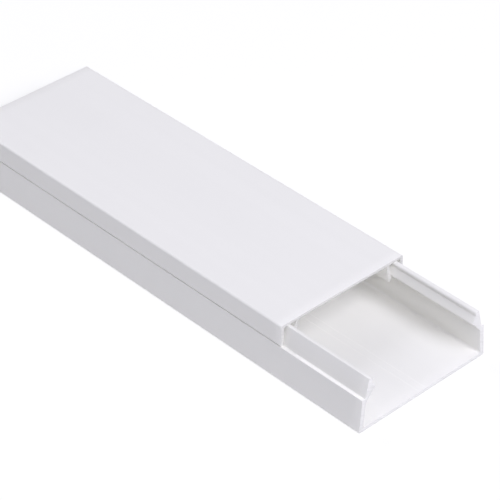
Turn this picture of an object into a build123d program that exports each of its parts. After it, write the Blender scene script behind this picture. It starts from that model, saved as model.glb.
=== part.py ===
from build123d import *

import os
from math import cos, radians, tan

# Two-piece cord raceway in millimetres, +Z up, extruded along X.
# The middle of the base's underside is the origin, and the open end faces +X.

# Overall
raceway_length = 205.0  # length of the base
raceway_height = 22.0  # underside of the base to the top of the closed cover
base_width = 60.0  # across the foot of the walls
cover_setback = 37.6  # bare base in front of the cover

# Base channel: floor and walls
floor_thickness = 1.5
wall_thickness = 1.8
wall_lean = 4.6  # degrees inward from upright
foot_radius = 0.6  # outside bottom edges
floor_radius = 0.9  # inside, where the floor meets the walls

# Base channel: shoulder under the cover's skirt
shoulder_height = 13.3
shoulder_depth = 1.35  # from the wall's outer face to the rail's foot
shoulder_land = 1.05  # part of the depth that is left flat
shoulder_edge_radius = 0.3
jog_drop = 1.8  # the inner jog starts this far below the shoulder
jog_radius = 0.5

# Base channel: rails and catches
rail_thickness = 1.8
rail_lean = 12.4  # degrees inward from upright
rail_bow = 0.1  # the rail's outer face stands out by this much halfway up
rail_edge_radius = 0.35  # outer edge of the crest
rail_inner_radius = 0.8  # inner edge, which the clip legs ride over
neck_height = 1.75  # plain inner face above the catch
catch_reach = 1.25  # from the neck to the nose
catch_drop = 2.7  # height of the catch's lead-in slope
nose_height = 0.35
nose_radius = 0.16
undercut_depth = 0.9  # underside of the catch
undercut_fall = 0.5  # the underside falls outward by this much
undercut_radius = 0.4

# Cover: plate and skirts
plate_thickness = 1.1
skirt_thickness = 1.3
skirt_waist_drop = 3.4  # below the top, where the skirt stands upright
skirt_brow = 0.1  # the skirt draws in by this much from its waist to the top
skirt_flare = 0.15  # the skirt stands out by this much from its waist to its foot
skirt_overhang = 0.1  # the skirt's foot stands out past the wall below it
cover_edge_radius = 0.75  # long top edges
skirt_inner_radius = 0.8
skirt_edge_radius = 0.4

# Cover: clip legs
leg_thickness = 1.2
leg_lean = 11.0  # degrees outward from upright
leg_root_radius = 0.3
barb_overlap = 0.3  # the barb reaches this far behind the catch's nose
barb_shelf_drop = 0.35  # the barb's upper face falls outward by this much
barb_height = 1.7  # barb's outer edge to the tip of the leg
barb_tip_width = 0.5
barb_radius = 0.2

# Fits between the base and the cover
rail_top_clearance = 0.1
seam_gap = 0.5  # foot of the skirt above the shoulder
nose_clearance = 0.35  # leg beside the nose of the catch
hook_clearance = 0.3  # barb below the catch


def lean_offset(rise, lean):
    """Sideways run of a face that rises by a height at a lean from upright."""
    return rise * tan(radians(lean))


def round_corner(section, point, radius):
    """Round the corner of a section that lies at a point."""
    fillet(section.vertices().sort_by_distance(point)[0], radius=radius)


def extruded(section, start, length):
    """Solid of a section drawn across the raceway, run along X from a start."""
    return extrude(Plane.YZ.offset(start) * section.sketch_local, amount=length)


# Levels and faces that both pieces take their fit from
plate_underside = raceway_height - plate_thickness
rail_top = plate_underside - rail_top_clearance
shoulder_outer = base_width / 2 - lean_offset(shoulder_height, wall_lean)
wall_inset = wall_thickness / cos(radians(wall_lean))
neck_bottom = rail_top - neck_height
nose_top = neck_bottom - catch_drop
catch_underside = nose_top - nose_height
rail_foot = shoulder_outer - shoulder_depth
rail_outer_top = rail_foot - lean_offset(rail_top - shoulder_height, rail_lean)
neck_face = rail_outer_top - rail_thickness + lean_offset(neck_height, rail_lean)
nose_face = neck_face - catch_reach

# Base channel: the right half of its section, from the middle of the underside round to the floor
with BuildSketch() as base_section:
    with BuildLine():
        underside = Line((0, 0), (base_width / 2, 0))
        wall_outside = Line(underside @ 1, (shoulder_outer, shoulder_height))
        shoulder = Line(wall_outside @ 1, (rail_foot, shoulder_height))
        rail_outside = SagittaArc(shoulder @ 1, (rail_outer_top, rail_top), -rail_bow)
        rail_crest = Line(rail_outside @ 1, (rail_outer_top - rail_thickness, rail_top))
        neck = Line(rail_crest @ 1, (neck_face, neck_bottom))
        lead_in = Line(neck @ 1, (nose_face, nose_top))
        nose = Line(lead_in @ 1, (nose_face, catch_underside))
        undercut = Line(nose @ 1, (nose_face + undercut_depth, catch_underside - undercut_fall))
        jog_bottom = shoulder_height - jog_drop
        wall_inner_top = base_width / 2 - wall_inset - lean_offset(jog_bottom, wall_lean)
        jog = Line(undercut @ 1, (wall_inner_top, jog_bottom))
        wall_inner_foot = base_width / 2 - wall_inset - lean_offset(floor_thickness, wall_lean)
        wall_inside = Line(jog @ 1, (wall_inner_foot, floor_thickness))
        floor_top = Line(wall_inside @ 1, (0, floor_thickness))
        Line(floor_top @ 1, underside @ 0)
    make_face()
    round_corner(base_section, underside @ 1, foot_radius)
    round_corner(base_section, shoulder @ 0, shoulder_edge_radius)
    round_corner(base_section, shoulder @ 1, shoulder_depth - shoulder_land)
    round_corner(base_section, rail_crest @ 0, rail_edge_radius)
    round_corner(base_section, rail_crest @ 1, rail_inner_radius)
    round_corner(base_section, nose @ 0, nose_radius)
    round_corner(base_section, nose @ 1, nose_radius)
    round_corner(base_section, jog @ 0, undercut_radius)
    round_corner(base_section, jog @ 1, jog_radius)
    round_corner(base_section, floor_top @ 0, floor_radius)
    mirror(about=Plane.YZ)

base_channel = extruded(base_section, -raceway_length / 2, raceway_length)

# Cover: the right half of its section, from the middle of the top round to the plate's underside
skirt_foot = shoulder_height + seam_gap
skirt_outer_foot = shoulder_outer + skirt_overhang
skirt_waist = (skirt_outer_foot - skirt_flare, raceway_height - skirt_waist_drop)
inner_waist = (skirt_waist[0] - skirt_thickness, skirt_waist[1])
leg_at_nose = nose_face - nose_clearance
leg_inset = leg_thickness / cos(radians(leg_lean))
barb_shelf = catch_underside - hook_clearance
barb_face = nose_face + barb_overlap
barb_edge = barb_shelf - barb_shelf_drop
leg_tip = barb_edge - barb_height

with BuildSketch() as cover_section:
    with BuildLine():
        plate_top = Line((0, raceway_height), (skirt_waist[0] - skirt_brow, raceway_height))
        TangentArc(skirt_waist, plate_top @ 1, tangent=(0, 1))
        skirt_outside = TangentArc(skirt_waist, (skirt_outer_foot, skirt_foot), tangent=(0, -1))
        skirt_edge = Line(skirt_outside @ 1, (skirt_outer_foot - skirt_thickness, skirt_foot))
        TangentArc(inner_waist, skirt_edge @ 1, tangent=(0, -1))
        skirt_inside = Line(inner_waist, (inner_waist[0], plate_underside))
        leg_root = leg_at_nose - lean_offset(plate_underside - nose_top, leg_lean)
        rail_roof = Line(skirt_inside @ 1, (leg_root, plate_underside))
        leg_at_shelf = leg_at_nose + lean_offset(nose_top - barb_shelf, leg_lean)
        leg_outside = Line(rail_roof @ 1, (leg_at_shelf, barb_shelf))
        shelf = Line(leg_outside @ 1, (barb_face, barb_edge))
        leg_inner_tip = leg_root - leg_inset + lean_offset(plate_underside - leg_tip, leg_lean)
        ramp = Line(shelf @ 1, (leg_inner_tip + barb_tip_width, leg_tip))
        tip = Line(ramp @ 1, (leg_inner_tip, leg_tip))
        leg_inside = Line(tip @ 1, (leg_root - leg_inset, plate_underside))
        way_roof = Line(leg_inside @ 1, (0, plate_underside))
        Line(way_roof @ 1, plate_top @ 0)
    make_face()
    round_corner(cover_section, plate_top @ 1, cover_edge_radius)
    round_corner(cover_section, skirt_edge @ 0, skirt_edge_radius)
    round_corner(cover_section, skirt_edge @ 1, skirt_edge_radius)
    round_corner(cover_section, rail_roof @ 0, skirt_inner_radius)
    round_corner(cover_section, rail_roof @ 1, leg_root_radius)
    round_corner(cover_section, shelf @ 1, barb_radius)
    round_corner(cover_section, tip @ 0, barb_radius)
    round_corner(cover_section, tip @ 1, barb_radius)
    round_corner(cover_section, way_roof @ 0, leg_root_radius)
    mirror(about=Plane.YZ)

cover_length = raceway_length - cover_setback
cover = extruded(cover_section, -raceway_length / 2, cover_length)

os.makedirs("parts", exist_ok=True)
export_step(base_channel, "parts/base_channel.step")
export_step(cover, "parts/cover.step")
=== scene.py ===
import logging
import math
from dataclasses import dataclass, field
from enum import Enum
from typing import Any, ClassVar

import bmesh
import bpy
from mathutils import Matrix, Vector


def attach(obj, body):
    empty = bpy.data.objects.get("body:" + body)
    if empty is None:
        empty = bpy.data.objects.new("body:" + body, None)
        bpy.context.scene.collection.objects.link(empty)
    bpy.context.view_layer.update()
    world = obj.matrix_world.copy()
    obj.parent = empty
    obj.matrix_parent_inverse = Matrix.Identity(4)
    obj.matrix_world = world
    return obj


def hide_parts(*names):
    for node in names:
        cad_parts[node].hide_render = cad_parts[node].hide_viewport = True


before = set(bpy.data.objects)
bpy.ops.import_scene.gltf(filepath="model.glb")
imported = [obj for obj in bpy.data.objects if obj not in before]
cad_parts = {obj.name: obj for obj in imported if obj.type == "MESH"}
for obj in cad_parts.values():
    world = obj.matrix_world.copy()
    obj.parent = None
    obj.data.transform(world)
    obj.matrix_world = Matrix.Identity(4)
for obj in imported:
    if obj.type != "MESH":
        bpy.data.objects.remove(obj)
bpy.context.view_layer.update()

LOG = logging.getLogger("raceway")
MM = 0.001

Colour = tuple[float, float, float]
Place = tuple[float, float, float]


class Surface(Enum):
    """Ways in which a face of the raceway was made."""

    DRAWN = "drawn"
    SAWN = "sawn"


class Graph:
    """Shorthand for filling a node tree and joining its sockets."""

    mix_factor: ClassVar[int] = 0
    mix_first_colour: ClassVar[int] = 6
    mix_second_colour: ClassVar[int] = 7
    mix_colour_result: ClassVar[int] = 2

    def __init__(self, tree: bpy.types.NodeTree) -> None:
        """Keep the tree that the nodes go into."""
        self.tree = tree

    def feed(self, socket: bpy.types.NodeSocket, value: Any) -> None:
        """Give a socket its constant, or join it to the socket that feeds it.

        Args:
            socket: the input to set.
            value: a constant, or an output socket.
        """
        if isinstance(value, bpy.types.NodeSocket):
            self.tree.links.new(value, socket)
        else:
            socket.default_value = value

    def node(self, kind: str, values: dict[Any, Any] | None = None, **settings: Any) -> bpy.types.Node:
        """Add a node.

        Args:
            kind: Blender's identifier of the node type.
            values: input names or positions, each with a constant or with the socket that feeds it.
            settings: attributes of the node itself.

        Returns:
            The new node.
        """
        made = self.tree.nodes.new(kind)
        for name, setting in settings.items():
            setattr(made, name, setting)
        for key, value in (values or {}).items():
            self.feed(made.inputs[key], value)
        return made

    def math(self, operation: str, first: Any, second: Any = 0.0) -> bpy.types.NodeSocket:
        """Work out one of Blender's sums on two numbers or sockets."""
        return self.node("ShaderNodeMath", {0: first, 1: second}, operation=operation).outputs[0]

    def vector(self, x: Any = 0.0, y: Any = 0.0, z: Any = 0.0) -> bpy.types.NodeSocket:
        """Put three numbers or sockets together as one vector."""
        return self.node("ShaderNodeCombineXYZ", {"X": x, "Y": y, "Z": z}).outputs[0]

    def ramp(self, value: bpy.types.NodeSocket, low: float, high: float,
             to_low: float = 0.0, to_high: float = 1.0) -> bpy.types.NodeSocket:
        """Spread a value's range from low to high smoothly over the range from to_low to to_high."""
        values = {"Value": value, "From Min": low, "From Max": high, "To Min": to_low, "To Max": to_high}
        return self.node("ShaderNodeMapRange", values, interpolation_type="SMOOTHSTEP").outputs["Result"]

    def noise(self, place: bpy.types.NodeSocket, scale: Any, detail: float) -> bpy.types.NodeSocket:
        """Read a noise pattern at a place, with its scale in waves to the metre."""
        values = {"Vector": place, "Scale": scale, "Detail": detail}
        return self.node("ShaderNodeTexNoise", values).outputs[0]

    def tint(self, mask: bpy.types.NodeSocket, first: Colour, second: Colour) -> bpy.types.NodeSocket:
        """Go from one colour to another by a mask.

        Args:
            mask: 0 for the first colour and 1 for the second.
            first: linear colour.
            second: linear colour.

        Returns:
            The socket with the colour.
        """
        values = {
            self.mix_factor: mask,
            self.mix_first_colour: (*first, 1.0),
            self.mix_second_colour: (*second, 1.0),
        }
        return self.node("ShaderNodeMix", values, data_type="RGBA").outputs[self.mix_colour_result]


@dataclass(frozen=True)
class Corner:
    """Corner of a drawn section, across from the raceway's middle and up from its underside, in metres."""

    across: float
    up: float
    radius: float = 0.0

    def place(self) -> Vector:
        """Give the corner's place on the drawing."""
        return Vector((self.across, self.up))


@dataclass
class SectionOutline:
    """Closed outline of an extruded section, drawn as its right half and mirrored."""

    corners: list[Corner]
    arc_step: float = math.radians(7.5)
    fewest_arc_steps: int = 2
    edge_margin: float = 0.2 * MM
    shortest_flat: float = 0.8 * MM

    def arc(self, before: Vector, corner: Corner, after: Vector) -> list[Vector]:
        """Round one corner.

        Args:
            before: the point that the outline comes from.
            corner: the corner itself.
            after: the point that the outline goes to.

        Returns:
            The points of the rounding, or the bare corner where it has no radius.
        """
        tip = corner.place()
        if not corner.radius:
            return [tip]
        back, ahead = (before - tip).normalized(), (after - tip).normalized()
        opening = back.angle(ahead)
        turn = math.pi - opening
        centre = tip + (back + ahead).normalized() * corner.radius / math.sin(opening / 2)
        spoke = tip + back * corner.radius / math.tan(opening / 2) - centre
        way = -1.0 if back.x * ahead.y > back.y * ahead.x else 1.0
        steps = max(self.fewest_arc_steps, math.ceil(turn / self.arc_step))
        return [centre + Matrix.Rotation(way * turn * k / steps, 2) @ spoke for k in range(steps + 1)]

    def half(self) -> list[Vector]:
        """Round every corner of the right half, and add points beside each one that keep the flats flat.

        Returns:
            The points of the right half, from the middle round to the middle.
        """
        places = [corner.place() for corner in self.corners]
        path = [places[0]]
        for index in range(1, len(places) - 1):
            path += self.arc(places[index - 1], self.corners[index], places[index + 1])
        path.append(places[-1])
        points = [path[0]]
        for start, end in zip(path, path[1:]):
            run = end - start
            margin = run.normalized() * self.edge_margin
            if run.length > self.shortest_flat:
                points += [start + margin, end - margin]
            points.append(end)
        return points

    def mesh(self, name: str) -> bpy.types.Mesh:
        """Draw the whole outline.

        Args:
            name: name of the drawing.

        Returns:
            A mesh of edges in one closed ring, flat in its own XY plane.
        """
        right = self.half()
        left = [Vector((-point.x, point.y)) for point in reversed(right[1:-1])]
        ring = [point.to_3d() for point in right + left]
        drawing = bpy.data.meshes.new(name)
        drawing.from_pydata(ring, [(k, (k + 1) % len(ring)) for k in range(len(ring))], [])
        return drawing


class ExtrusionNodes:
    """Geometry Nodes that run a drawn section along the raceway and mark its sawn ends."""

    sockets: ClassVar[dict[str, str]] = {
        "Section": "NodeSocketGeometry",
        "Start": "NodeSocketFloat",
        "Length": "NodeSocketFloat",
        "Divisions": "NodeSocketInt",
        "Drawn Skin": "NodeSocketMaterial",
        "Sawn End": "NodeSocketMaterial",
    }
    end_tolerance: ClassVar[float] = 0.01 * MM

    def __init__(self) -> None:
        """Build the tree once for every extruded piece."""
        self.tree = bpy.data.node_groups.new("extruded_section", "GeometryNodeTree")
        self.identifiers = {
            name: self.tree.interface.new_socket(name, in_out="INPUT", socket_type=kind).identifier
            for name, kind in self.sockets.items()
        }
        self.tree.interface.new_socket("Extrusion", in_out="OUTPUT", socket_type="NodeSocketGeometry")
        self.lay_out(Graph(self.tree))

    def lay_out(self, graph: Graph) -> None:
        """Fill the tree.

        Args:
            graph: the tree to fill.
        """
        given = graph.node("NodeGroupInput").outputs
        line = graph.node("GeometryNodeCurvePrimitiveLine", {
            "Start": graph.vector(given["Start"]),
            "End": graph.vector(graph.math("ADD", given["Start"], given["Length"])),
        })
        points = graph.math("ADD", given["Divisions"], 1.0)
        spaced = graph.node("GeometryNodeResampleCurve", {"Curve": line.outputs[0], "Count": points})
        # Without this half turn the section would stand on its head
        upright = graph.node("GeometryNodeSetCurveTilt", {"Curve": spaced.outputs[0], "Tilt": math.pi})
        profile = graph.node("GeometryNodeMeshToCurve", {"Mesh": given["Section"]})
        swept = graph.node("GeometryNodeCurveToMesh", {
            "Curve": upright.outputs[0],
            "Profile Curve": profile.outputs[0],
            "Fill Caps": True,
        })
        at_end = self.end_mask(graph, given)
        weighted = graph.node("GeometryNodeStoreNamedAttribute", {
            "Geometry": swept.outputs[0],
            "Name": "bevel_weight_edge",
            "Value": at_end,
        }, data_type="FLOAT", domain="EDGE")
        real = graph.node("GeometryNodeRealizeInstances", {"Geometry": weighted.outputs[0]})
        skin = graph.node("GeometryNodeSetMaterial", {
            "Geometry": real.outputs[0],
            "Material": given["Drawn Skin"],
        })
        ends = graph.node("GeometryNodeSetMaterial", {
            "Geometry": skin.outputs[0],
            "Selection": at_end,
            "Material": given["Sawn End"],
        })
        graph.node("NodeGroupOutput", {"Extrusion": ends.outputs[0]})

    def end_mask(self, graph: Graph, given: bpy.types.NodeOutputs) -> bpy.types.NodeSocket:
        """Find what lies wholly in one of the two end planes.

        Args:
            graph: the tree to fill.
            given: the tree's inputs.

        Returns:
            A socket that is 1 in the end planes and 0 elsewhere.
        """
        position = graph.node("GeometryNodeInputPosition").outputs[0]
        along = graph.node("ShaderNodeSeparateXYZ", {0: position}).outputs["X"]
        half = graph.math("MULTIPLY", given["Length"], 0.5)
        from_middle = graph.math("SUBTRACT", along, graph.math("ADD", given["Start"], half))
        past_end = graph.math("SUBTRACT", graph.math("ABSOLUTE", from_middle), half)
        return graph.math("GREATER_THAN", past_end, -self.end_tolerance)

    def attach(self, piece: bpy.types.Object, values: dict[str, Any]) -> None:
        """Hang the tree on a piece.

        Args:
            piece: object that carries the drawn section.
            values: named inputs of the tree.
        """
        modifier = piece.modifiers.new("extrusion", "NODES")
        modifier.node_group = self.tree
        for name, value in values.items():
            modifier[self.identifiers[name]] = value


class SurfaceEffects:
    """Shader node groups that the finishes share. Waves are counted to the metre."""

    die_line_waves: ClassVar[float] = 2600.0
    die_line_detail: ClassVar[float] = 2.0
    die_line_drift: ClassVar[float] = 0.012
    band_waves: ClassVar[float] = 160.0
    band_detail: ClassVar[float] = 1.0
    band_edges: ClassVar[tuple[float, float]] = (0.35, 0.65)
    smudge_waves: ClassVar[float] = 26.0
    smudge_detail: ClassVar[float] = 4.0
    smudge_edges: ClassVar[tuple[float, float]] = (0.42, 0.68)
    grain_waves: ClassVar[float] = 5200.0
    grain_detail: ClassVar[float] = 1.0
    saw_waves: ClassVar[float] = 1500.0
    saw_detail: ClassVar[float] = 3.0
    saw_slant: ClassVar[float] = 0.5
    saw_stretch: ClassVar[float] = 0.04
    scratch_edges: ClassVar[tuple[float, float]] = (0.35, 0.65)

    def __init__(self, base: "BaseChannel") -> None:
        """Build each effect once.

        Args:
            base: the channel whose raised guide lines get the painted highlight.
        """
        self.die_lines = self.make_die_lines()
        self.highlit_guide_lines = self.make_highlit_guide_lines(base)
        self.handling = self.make_handling()
        self.saw_marks = self.make_saw_marks()

    @staticmethod
    def group(name: str, inputs: dict[str, float], outputs: list[str]) -> Graph:
        """Start a group that reads a place on the piece and puts out values.

        Args:
            name: name of the group.
            inputs: number inputs with their defaults.
            outputs: names of the values that it puts out.

        Returns:
            The new tree, ready to fill.
        """
        tree = bpy.data.node_groups.new(name, "ShaderNodeTree")
        tree.interface.new_socket("Place", in_out="INPUT", socket_type="NodeSocketVector")
        for label, value in inputs.items():
            socket = tree.interface.new_socket(label, in_out="INPUT", socket_type="NodeSocketFloat")
            socket.default_value = value
        for label in outputs:
            tree.interface.new_socket(label, in_out="OUTPUT", socket_type="NodeSocketFloat")
        return Graph(tree)

    def make_die_lines(self) -> bpy.types.NodeTree:
        """Make the faint lengthwise lines that the die leaves.

        Returns:
            A group with the lines' height and the slow bands between them.
        """
        graph = self.group("die_lines", {
            "Lines": self.die_line_waves,
            "Bands": self.band_waves,
            "Drift": self.die_line_drift,
        }, ["Height", "Band"])
        given = graph.node("NodeGroupInput").outputs
        parts = graph.node("ShaderNodeSeparateXYZ", {0: given["Place"]}).outputs
        drawn = graph.vector(graph.math("MULTIPLY", parts["X"], given["Drift"]), parts["Y"], parts["Z"])
        bands = graph.noise(drawn, given["Bands"], self.band_detail)
        graph.node("NodeGroupOutput", {
            "Height": graph.noise(drawn, given["Lines"], self.die_line_detail),
            "Band": graph.ramp(bands, *self.band_edges),
        })
        return graph.tree

    def make_highlit_guide_lines(self, base: "BaseChannel") -> bpy.types.NodeTree:
        """Make the mask of the raised guide lines on the channel's floor, where a painted highlight colours
        them lighter than the floor.

        Args:
            base: the channel that has the lines.

        Returns:
            A group with a mask that is 1 on the lines.
        """
        graph = self.group("highlit_guide_lines", {
            "Aside": base.guide_line_place,
            "Reach": base.guide_line_width / 2,
            "Level": base.floor_thickness,
        }, ["Line"])
        given = graph.node("NodeGroupInput").outputs
        parts = graph.node("ShaderNodeSeparateXYZ", {0: given["Place"]}).outputs
        from_middle = graph.math("ABSOLUTE", parts["Y"])
        aside = graph.math("ABSOLUTE", graph.math("SUBTRACT", from_middle, given["Aside"]))
        above = graph.math("ABSOLUTE", graph.math("SUBTRACT", parts["Z"], given["Level"]))
        graph.node("NodeGroupOutput", {
            "Line": graph.math("LESS_THAN", graph.math("MAXIMUM", aside, above), given["Reach"]),
        })
        return graph.tree

    def make_handling(self) -> bpy.types.NodeTree:
        """Make the smudges of handling and the grain of the plastic.

        Returns:
            A group with a smudge mask and the grain's height.
        """
        graph = self.group("handling", {
            "Smudges": self.smudge_waves,
            "Grain": self.grain_waves,
        }, ["Smudge", "Grain"])
        given = graph.node("NodeGroupInput").outputs
        cloud = graph.noise(given["Place"], given["Smudges"], self.smudge_detail)
        graph.node("NodeGroupOutput", {
            "Smudge": graph.ramp(cloud, *self.smudge_edges),
            "Grain": graph.noise(given["Place"], given["Grain"], self.grain_detail),
        })
        return graph.tree

    def make_saw_marks(self) -> bpy.types.NodeTree:
        """Make the slanting scratches that a fine saw leaves on a cut end.

        Returns:
            A group with the scratches' height.
        """
        graph = self.group("saw_marks", {
            "Teeth": self.saw_waves,
            "Slant": self.saw_slant,
            "Stretch": self.saw_stretch,
        }, ["Height"])
        given = graph.node("NodeGroupInput").outputs
        parts = graph.node("ShaderNodeSeparateXYZ", {0: given["Place"]}).outputs
        slanted = graph.math("ADD", parts["Z"], graph.math("MULTIPLY", parts["Y"], given["Slant"]))
        across = graph.vector(graph.math("MULTIPLY", parts["Y"], given["Stretch"]), 0.0, slanted)
        graph.node("NodeGroupOutput", {"Height": graph.noise(across, given["Teeth"], self.saw_detail)})
        return graph.tree


@dataclass(frozen=True)
class PvcFinish:
    """White rigid PVC, as it leaves the die or the saw; the sawn ends' darker colours are painted shade."""

    name: str
    surface: Surface
    colour: Colour
    dull_colour: Colour
    roughness: float
    dull_roughness: float
    relief: float
    # Share by which a painted highlight lightens the raised guide lines
    guide_line_highlight: float = 0.0
    grain_share: float = 0.4

    def material(self, effects: SurfaceEffects) -> bpy.types.Material:
        """Build the finish.

        Args:
            effects: the shared node groups.

        Returns:
            The material, on Object coordinates.
        """
        made = bpy.data.materials.new(self.name)
        made.use_nodes = True
        graph = Graph(made.node_tree)
        place = graph.node("ShaderNodeTexCoord").outputs["Object"]
        height, dull = self.marks(graph, effects, place)
        bump = graph.node("ShaderNodeBump", {"Strength": 1.0, "Distance": self.relief, "Height": height})
        shader = made.node_tree.nodes["Principled BSDF"]
        roughness = graph.ramp(dull, 0.0, 1.0, self.roughness, self.dull_roughness)
        graph.feed(shader.inputs["Base Color"], self.face_colour(graph, effects, place, dull))
        graph.feed(shader.inputs["Roughness"], roughness)
        graph.feed(shader.inputs["Normal"], bump.outputs[0])
        return made

    def face_colour(self, graph: Graph, effects: SurfaceEffects, place: bpy.types.NodeSocket,
                    dull: bpy.types.NodeSocket) -> bpy.types.NodeSocket:
        """Colour the face, with a painted highlight that makes the raised guide lines lighter.

        Args:
            graph: the material's tree.
            effects: the shared node groups.
            place: Object coordinates.
            dull: mask of the duller places.

        Returns:
            The socket with the colour.
        """
        colour = graph.tint(dull, self.colour, self.dull_colour)
        if not self.guide_line_highlight:
            return colour
        lines = graph.node("ShaderNodeGroup", node_tree=effects.highlit_guide_lines)
        graph.feed(lines.inputs["Place"], place)
        # Painted highlight: the colour on the raised guide lines is scaled lighter
        gain = graph.ramp(lines.outputs["Line"], 0.0, 1.0, 1.0, 1.0 + self.guide_line_highlight)
        return graph.node("ShaderNodeVectorMath", {0: colour, "Scale": gain}, operation="SCALE").outputs[0]

    def marks(self, graph: Graph, effects: SurfaceEffects,
              place: bpy.types.NodeSocket) -> tuple[bpy.types.NodeSocket, bpy.types.NodeSocket]:
        """Place the effects that suit how the face was made.

        Args:
            graph: the material's tree.
            effects: the shared node groups.
            place: Object coordinates.

        Returns:
            The height of the relief, and the mask of the duller places.
        """
        handling = graph.node("ShaderNodeGroup", node_tree=effects.handling)
        graph.feed(handling.inputs["Place"], place)
        grain = graph.math("MULTIPLY", handling.outputs["Grain"], self.grain_share)
        if self.surface is Surface.SAWN:
            saw = graph.node("ShaderNodeGroup", node_tree=effects.saw_marks)
            graph.feed(saw.inputs["Place"], place)
            dull = graph.ramp(saw.outputs["Height"], *effects.scratch_edges)
            return graph.math("ADD", saw.outputs["Height"], grain), dull
        lines = graph.node("ShaderNodeGroup", node_tree=effects.die_lines)
        graph.feed(lines.inputs["Place"], place)
        both_masks = graph.math("ADD", lines.outputs["Band"], handling.outputs["Smudge"])
        dull = graph.math("MULTIPLY", both_masks, 0.5)
        return graph.math("ADD", lines.outputs["Height"], grain), dull


def grey(level: float) -> tuple[float, float, float, float]:
    """Give the opaque grey of a linear level."""
    return level, level, level, 1.0


def lean_offset(rise: float, lean: float) -> float:
    """Give the sideways run of a face that rises by a height at a lean, in degrees, from upright."""
    return rise * math.tan(math.radians(lean))


def inset(thickness: float, lean: float) -> float:
    """Give the level width of a wall of a thickness that leans, in degrees, from upright."""
    return thickness / math.cos(math.radians(lean))


def bowed_run(start: Corner, end: Corner, bow: float, steps: int = 6) -> list[Corner]:
    """Draw a face that stands out a little between its two corners.

    Args:
        start: the corner that the face starts at.
        end: the corner that it ends at.
        bow: how far the face stands out halfway along.
        steps: straight stretches that the face is drawn in.

    Returns:
        Points along the face, without its two corners.
    """
    points = []
    for k in range(1, steps):
        share = k / steps
        place = start.place().lerp(end.place(), share)
        # The parabola is 0 at both corners and 1 halfway
        parabola = 4 * share * (1 - share)
        points.append(Corner(place.x + bow * parabola, place.y))
    return points


def flared_run(upright: Corner, end: Corner, steps: int = 5) -> list[Corner]:
    """Draw a face that leaves one corner upright and bends away to the other.

    Args:
        upright: the corner where the face stands upright.
        end: the corner that it bends away to.
        steps: straight stretches that the face is drawn in.

    Returns:
        Points along the face, without its two corners.
    """
    away = end.place() - upright.place()
    shares = [k / steps for k in range(1, steps)]
    return [Corner(upright.across + away.x * share ** 2, upright.up + away.y * share) for share in shares]


class ExtrudedPiece:
    """Straight run of a drawn section, sawn square at both ends."""

    name: ClassVar[str]
    node: ClassVar[str]
    body: ClassVar[str]
    slot: ClassVar[str]
    divisions: ClassVar[int] = 40
    burr_width: ClassVar[float] = 0.06 * MM
    burr_segments: ClassVar[int] = 2
    crease: ClassVar[float] = math.radians(28)

    def outline(self) -> SectionOutline:
        """Draw the section."""
        raise NotImplementedError

    def run(self) -> tuple[float, float]:
        """Give where the piece starts along X, and its length."""
        raise NotImplementedError

    def build(self, nodes: ExtrusionNodes, skin: bpy.types.Material,
              sawn: bpy.types.Material) -> bpy.types.Object:
        """Extrude the section, dress its faces and break its sawn edges.

        Args:
            nodes: the tree that extrudes.
            skin: material of the faces that the die made.
            sawn: material of the two cut ends, coloured darker than the skin as painted shade.

        Returns:
            The finished piece, riding on its body in place of its CAD node.
        """
        piece = bpy.data.objects.new(self.name, self.outline().mesh(self.name))
        bpy.context.scene.collection.objects.link(piece)
        start, length = self.run()
        nodes.attach(piece, {
            "Start": start,
            "Length": length,
            "Divisions": self.divisions,
            "Drawn Skin": skin,
            "Sawn End": sawn,
        })
        burr = piece.modifiers.new("sawn_edges", "BEVEL")
        burr.limit_method = "WEIGHT"
        burr.width = self.burr_width
        burr.segments = self.burr_segments
        burr.use_clamp_overlap = False
        self.settle(piece)
        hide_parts(self.node)
        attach(piece, self.body)
        return piece

    def settle(self, piece: bpy.types.Object) -> None:
        """Turn the modifiers' result into a plain mesh with its faces outward.

        Args:
            piece: the object with its modifiers.
        """
        depsgraph = bpy.context.evaluated_depsgraph_get()
        mesh = bpy.data.meshes.new_from_object(piece.evaluated_get(depsgraph), depsgraph=depsgraph)
        piece.modifiers.clear()
        drawing, piece.data = piece.data, mesh
        bpy.data.meshes.remove(drawing)
        mesh.name = piece.name
        solid = bmesh.new()
        solid.from_mesh(mesh)
        bmesh.ops.recalc_face_normals(solid, faces=solid.faces)
        solid.to_mesh(mesh)
        solid.free()
        mesh.shade_smooth()
        mesh.set_sharp_from_angle(angle=self.crease)


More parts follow.
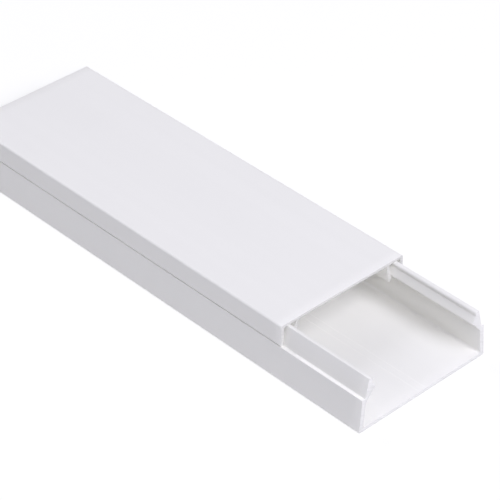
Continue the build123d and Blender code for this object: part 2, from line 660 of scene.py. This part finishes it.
@dataclass
class BaseChannel(ExtrudedPiece):
    """U-shaped channel with a shoulder, a rail and a barbed catch on each side."""

    name = "base_channel_extrusion"
    node = "base_channel"
    body = "base"
    slot = "base_pvc"

    length: float = 205.0 * MM
    width: float = 60.0 * MM
    floor_thickness: float = 1.5 * MM
    floor_radius: float = 0.9 * MM
    wall_thickness: float = 1.8 * MM
    wall_lean: float = 4.6
    foot_radius: float = 0.6 * MM
    shoulder_height: float = 13.3 * MM
    shoulder_depth: float = 1.35 * MM
    shoulder_land: float = 1.05 * MM
    shoulder_edge_radius: float = 0.3 * MM
    jog_drop: float = 1.8 * MM
    jog_radius: float = 0.5 * MM
    rail_top: float = 20.8 * MM
    rail_thickness: float = 1.8 * MM
    rail_lean: float = 12.4
    rail_bow: float = 0.1 * MM
    rail_edge_radius: float = 0.35 * MM
    rail_inner_radius: float = 0.8 * MM
    neck_height: float = 1.75 * MM
    neck_radius: float = 0.1 * MM
    catch_reach: float = 1.25 * MM
    catch_drop: float = 2.7 * MM
    nose_height: float = 0.35 * MM
    nose_radius: float = 0.16 * MM
    undercut_depth: float = 0.9 * MM
    undercut_fall: float = 0.5 * MM
    undercut_radius: float = 0.4 * MM
    guide_line_place: float = 1.5 * MM
    guide_line_width: float = 0.5 * MM
    guide_line_height: float = 0.04 * MM

    shoulder_outer: float = field(init=False)
    rail_foot: float = field(init=False)
    rail_outer_top: float = field(init=False)
    neck_bottom: float = field(init=False)
    neck_face: float = field(init=False)
    nose_top: float = field(init=False)
    nose_face: float = field(init=False)
    catch_underside: float = field(init=False)

    def __post_init__(self) -> None:
        """Work out the levels and faces that the cover takes its fit from."""
        self.shoulder_outer = self.width / 2 - lean_offset(self.shoulder_height, self.wall_lean)
        self.rail_foot = self.shoulder_outer - self.shoulder_depth
        rail_rise = self.rail_top - self.shoulder_height
        self.rail_outer_top = self.rail_foot - lean_offset(rail_rise, self.rail_lean)
        self.neck_bottom = self.rail_top - self.neck_height
        rail_inner_top = self.rail_outer_top - self.rail_thickness
        self.neck_face = rail_inner_top + lean_offset(self.neck_height, self.rail_lean)
        self.nose_top = self.neck_bottom - self.catch_drop
        self.nose_face = self.neck_face - self.catch_reach
        self.catch_underside = self.nose_top - self.nose_height

    def run(self) -> tuple[float, float]:
        """Give where the channel starts along X, and its length."""
        return -self.length / 2, self.length

    def wall_inside(self, up: float) -> float:
        """Give how far across the wall's inner face is at a height."""
        return self.width / 2 - inset(self.wall_thickness, self.wall_lean) - lean_offset(up, self.wall_lean)

    def guide_line(self) -> list[Corner]:
        """Draw the fine raised line on the floor, beside its middle.

        Returns:
            The line's corners, from outside to inside.
        """
        top = self.floor_thickness + self.guide_line_height
        foot, crest = self.guide_line_width / 2, self.guide_line_width / 4
        return [
            Corner(self.guide_line_place + foot, self.floor_thickness),
            Corner(self.guide_line_place + crest, top),
            Corner(self.guide_line_place - crest, top),
            Corner(self.guide_line_place - foot, self.floor_thickness),
        ]

    def outline(self) -> SectionOutline:
        """Draw the section from the middle of the underside round to the middle of the floor.

        Returns:
            The outline, with the guide lines on its floor.
        """
        jog_bottom = self.shoulder_height - self.jog_drop
        undercut_root = self.catch_underside - self.undercut_fall
        rail_foot = Corner(self.rail_foot, self.shoulder_height, self.shoulder_depth - self.shoulder_land)
        rail_crest = Corner(self.rail_outer_top, self.rail_top, self.rail_edge_radius)
        return SectionOutline([
            Corner(0.0, 0.0),
            Corner(self.width / 2, 0.0, self.foot_radius),
            Corner(self.shoulder_outer, self.shoulder_height, self.shoulder_edge_radius),
            rail_foot,
            *bowed_run(rail_foot, rail_crest, self.rail_bow),
            rail_crest,
            Corner(self.rail_outer_top - self.rail_thickness, self.rail_top, self.rail_inner_radius),
            Corner(self.neck_face, self.neck_bottom, self.neck_radius),
            Corner(self.nose_face, self.nose_top, self.nose_radius),
            Corner(self.nose_face, self.catch_underside, self.nose_radius),
            Corner(self.nose_face + self.undercut_depth, undercut_root, self.undercut_radius),
            Corner(self.wall_inside(jog_bottom), jog_bottom, self.jog_radius),
            Corner(self.wall_inside(self.floor_thickness), self.floor_thickness, self.floor_radius),
            *self.guide_line(),
            Corner(0.0, self.floor_thickness),
        ])


@dataclass
class Cover(ExtrudedPiece):
    """Flat lid with a skirt and a hooked clip leg down each side."""

    name = "cover_extrusion"
    node = "cover"
    body = "cover"
    slot = "cover_pvc"

    base: BaseChannel
    setback: float = 37.6 * MM
    top: float = 22.0 * MM
    plate_thickness: float = 1.1 * MM
    edge_radius: float = 0.75 * MM
    skirt_thickness: float = 1.3 * MM
    skirt_waist_drop: float = 3.4 * MM
    skirt_brow: float = 0.1 * MM
    skirt_brow_steps: int = 3
    skirt_flare: float = 0.15 * MM
    skirt_overhang: float = 0.1 * MM
    skirt_inner_radius: float = 0.8 * MM
    skirt_edge_radius: float = 0.4 * MM
    # Pressed home, and so tighter than the solid's running clearance
    seam_gap: float = 0.35 * MM
    leg_thickness: float = 1.2 * MM
    leg_lean: float = 11.0
    leg_root_radius: float = 0.3 * MM
    nose_clearance: float = 0.35 * MM
    hook_clearance: float = 0.3 * MM
    hook_radius: float = 0.1 * MM
    barb_overlap: float = 0.3 * MM
    barb_shelf_drop: float = 0.35 * MM
    barb_height: float = 1.7 * MM
    barb_tip_width: float = 0.5 * MM
    barb_radius: float = 0.2 * MM

    def run(self) -> tuple[float, float]:
        """Give where the cover starts along X, and its length."""
        return -self.base.length / 2, self.base.length - self.setback

    def skirt(self, underside: float) -> list[Corner]:
        """Draw the skirt from the plate's top edge round to the underside of the plate.

        Args:
            underside: height of the plate's underside.

        Returns:
            The skirt's corners.
        """
        foot = self.base.shoulder_height + self.seam_gap
        outer_foot = self.base.shoulder_outer + self.skirt_overhang
        waist = Corner(outer_foot - self.skirt_flare, self.top - self.skirt_waist_drop)
        outer_top = Corner(waist.across - self.skirt_brow, self.top, self.edge_radius)
        outer_low = Corner(outer_foot, foot, self.skirt_edge_radius)
        inner_low = Corner(outer_foot - self.skirt_thickness, foot, self.skirt_edge_radius)
        inner_waist = Corner(waist.across - self.skirt_thickness, waist.up)
        inner_top = Corner(inner_waist.across, underside, self.skirt_inner_radius)
        return [
            outer_top,
            *reversed(flared_run(waist, outer_top, self.skirt_brow_steps)),
            waist,
            *flared_run(waist, outer_low),
            outer_low,
            inner_low,
            *reversed(flared_run(inner_waist, inner_low)),
            inner_waist,
            inner_top,
        ]

    def clip_leg(self, underside: float) -> list[Corner]:
        """Draw the clip leg from its outer root round its barb to its inner root.

        Args:
            underside: height of the plate's underside.

        Returns:
            The leg's corners.
        """
        at_nose = self.base.nose_face - self.nose_clearance
        root = at_nose - lean_offset(underside - self.base.nose_top, self.leg_lean)
        inner_root = root - inset(self.leg_thickness, self.leg_lean)
        shelf = self.base.catch_underside - self.hook_clearance
        at_shelf = at_nose + lean_offset(self.base.nose_top - shelf, self.leg_lean)
        barb_edge = shelf - self.barb_shelf_drop
        tip = barb_edge - self.barb_height
        inner_tip = inner_root + lean_offset(underside - tip, self.leg_lean)
        return [
            Corner(root, underside, self.leg_root_radius),
            Corner(at_shelf, shelf, self.hook_radius),
            Corner(self.base.nose_face + self.barb_overlap, barb_edge, self.barb_radius),
            Corner(inner_tip + self.barb_tip_width, tip, self.barb_radius),
            Corner(inner_tip, tip, self.barb_radius),
            Corner(inner_root, underside, self.leg_root_radius),
        ]

    def outline(self) -> SectionOutline:
        """Draw the section from the middle of the top round to the middle of the plate's underside.

        Returns:
            The outline.
        """
        underside = self.top - self.plate_thickness
        return SectionOutline([
            Corner(0.0, self.top),
            *self.skirt(underside),
            *self.clip_leg(underside),
            Corner(0.0, underside),
        ])


@dataclass(frozen=True)
class SoftBox:
    """Large soft lamp of the studio, placed by its bearing from +X and its elevation, in degrees."""

    name: str
    bearing: float
    elevation: float
    power: float
    distance: float = 2.8
    span: float = 1.4

    def hang(self, aim: Vector, colour: Colour) -> None:
        """Hang the lamp and turn it to the raceway.

        Args:
            aim: the point that it faces.
            colour: linear colour of its light.
        """
        data = bpy.data.lights.new(self.name, "AREA")
        data.shape = "SQUARE"
        data.size = self.span
        data.energy = self.power
        data.color = colour
        bearing, elevation = math.radians(self.bearing), math.radians(self.elevation)
        level = math.cos(elevation)
        outward = Vector((level * math.cos(bearing), level * math.sin(bearing), math.sin(elevation)))
        lamp = bpy.data.objects.new(self.name, data)
        lamp.location = aim + outward * self.distance
        lamp.rotation_euler = (-outward).to_track_quat("-Z", "Y").to_euler()
        bpy.context.scene.collection.objects.link(lamp)


@dataclass
class Studio:
    """White floor, soft light all round, soft boxes and the camera."""

    floor_span: float = 12.0
    floor_drop: float = 0.05 * MM
    floor_grey: float = 0.8
    floor_shadow: float = 0.3
    floor_glow: float = 0.74
    sky: float = 0.17
    light_colour: Colour = (0.973, 0.97, 1.077)
    lamps: tuple[SoftBox, ...] = (
        SoftBox("front_box", bearing=0.0, elevation=50.0, power=33.3),
        SoftBox("low_front_box", bearing=0.0, elevation=35.0, power=16.3, span=0.6),
        SoftBox("near_box", bearing=-30.0, elevation=35.0, power=23.2, span=0.6),
        SoftBox("back_box", bearing=180.0, elevation=46.0, power=16.6),
        SoftBox("low_back_box", bearing=180.0, elevation=10.0, power=12.0),
    )
    eye: Place = (0.4815, -0.4352, 0.4837)
    aim: Place = (0.01969, -0.00037, 0.01447)
    lens: float = 163.26
    sensor: float = 36.0

    @staticmethod
    def shown(graph: Graph, lighting: bpy.types.Node, seen: bpy.types.Node) -> bpy.types.NodeSocket:
        """Part what the camera sees, directly or in a reflection, from what only lights the raceway.

        Args:
            graph: the tree of the floor or the world.
            lighting: the shader that lights the raceway.
            seen: the shader that the camera sees.

        Returns:
            The socket with both shaders.
        """
        path = graph.node("ShaderNodeLightPath").outputs
        mirrored = graph.math("MAXIMUM", path["Is Glossy Ray"], path["Is Transmission Ray"])
        is_seen = graph.math("MAXIMUM", path["Is Camera Ray"], mirrored)
        sides = {0: is_seen, 1: lighting.outputs[0], 2: seen.outputs[0]}
        return graph.node("ShaderNodeMixShader", sides).outputs[0]

    def floor_material(self) -> bpy.types.Material:
        """Build the white of the floor, which still takes the raceway's shadow.

        Returns:
            The floor's material.
        """
        made = bpy.data.materials.new("studio_floor")
        made.use_nodes = True
        made.node_tree.nodes.clear()
        graph = Graph(made.node_tree)
        plain = graph.node("ShaderNodeBsdfDiffuse", {"Color": grey(self.floor_grey)})
        shaded = graph.node("ShaderNodeBsdfDiffuse", {"Color": grey(self.floor_shadow)})
        glow = graph.node("ShaderNodeEmission", {"Strength": self.floor_glow})
        white = graph.node("ShaderNodeAddShader", {0: shaded.outputs[0], 1: glow.outputs[0]})
        graph.node("ShaderNodeOutputMaterial", {"Surface": self.shown(graph, plain, white)})
        return made

    def lay_floor(self) -> None:
        """Lay the floor under the raceway."""
        half = self.floor_span / 2
        sheet = bpy.data.meshes.new("studio_floor")
        corners = [(-half, -half), (half, -half), (half, half), (-half, half)]
        sheet.from_pydata([(x, y, -self.floor_drop) for x, y in corners], [], [(0, 1, 2, 3)])
        sheet.materials.append(self.floor_material())
        floor = bpy.data.objects.new("studio_floor", sheet)
        bpy.context.scene.collection.objects.link(floor)

    def fill_world(self) -> None:
        """Light the raceway softly from all round, in front of a white background."""
        world = bpy.data.worlds.new("studio")
        bpy.context.scene.world = world
        world.use_nodes = True
        world.node_tree.nodes.clear()
        graph = Graph(world.node_tree)
        light = (*self.light_colour, 1.0)
        fill = graph.node("ShaderNodeBackground", {"Color": light, "Strength": self.sky})
        white = graph.node("ShaderNodeBackground", {"Color": grey(1.0), "Strength": 1.0})
        graph.node("ShaderNodeOutputWorld", {"Surface": self.shown(graph, fill, white)})

    def set_camera(self) -> None:
        """Stand the camera where the photograph was taken from."""
        data = bpy.data.cameras.new("photo_camera")
        data.lens = self.lens
        data.sensor_width = self.sensor
        camera = bpy.data.objects.new("photo_camera", data)
        camera.location = self.eye
        camera.rotation_euler = (Vector(self.aim) - camera.location).to_track_quat("-Z", "Y").to_euler()
        bpy.context.scene.collection.objects.link(camera)
        bpy.context.scene.camera = camera

    def set_up(self) -> None:
        """Set the whole studio up."""
        bpy.context.scene.view_settings.view_transform = "Standard"
        self.lay_floor()
        self.fill_world()
        for lamp in self.lamps:
            lamp.hang(Vector(self.aim), self.light_colour)
        self.set_camera()


DRAWN_SKIN = PvcFinish(
    name="pvc_drawn_skin",
    surface=Surface.DRAWN,
    colour=(0.896, 0.889, 0.843),
    dull_colour=(0.884, 0.877, 0.831),
    roughness=0.6,
    dull_roughness=0.67,
    relief=0.008 * MM,
    # Painted highlight: the raised guide lines are coloured 2.8 % lighter than the skin
    guide_line_highlight=0.028,
)
# Painted shade: the sawn ends are coloured darker than the skin, for the lower light on the cut faces; the
# saw marks' duller colour is the cut's own
SHADED_BASE_END = PvcFinish(
    name="pvc_base_end_painted_shade",
    surface=Surface.SAWN,
    colour=(0.78, 0.774, 0.739),
    dull_colour=(0.72, 0.714, 0.682),
    roughness=0.55,
    dull_roughness=0.68,
    relief=0.02 * MM,
)
# Painted shade: the cover's sawn ends are coloured darker still, for the shade round the plate's cut edge
SHADED_COVER_END = PvcFinish(
    name="pvc_cover_end_painted_shade",
    surface=Surface.SAWN,
    colour=(0.67, 0.665, 0.632),
    dull_colour=(0.61, 0.605, 0.575),
    roughness=0.55,
    dull_roughness=0.68,
    relief=0.02 * MM,
)


def main() -> None:
    """Build and dress the two pieces, then set the studio up round them."""
    logging.basicConfig(level=logging.INFO, format="%(message)s")
    base = BaseChannel()
    effects = SurfaceEffects(base)
    skin = DRAWN_SKIN.material(effects)
    nodes = ExtrusionNodes()
    for part, shaded_cut_end in ((base, SHADED_BASE_END), (Cover(base), SHADED_COVER_END)):
        piece = part.build(nodes, skin, shaded_cut_end.material(effects))
        LOG.info("%s: %d faces, rides on %s", piece.name, len(piece.data.polygons), part.body)
    studio = Studio()
    studio.set_up()
    LOG.info("studio: floor, %d soft boxes and camera", len(studio.lamps))


if __name__ == "__main__":
    main()
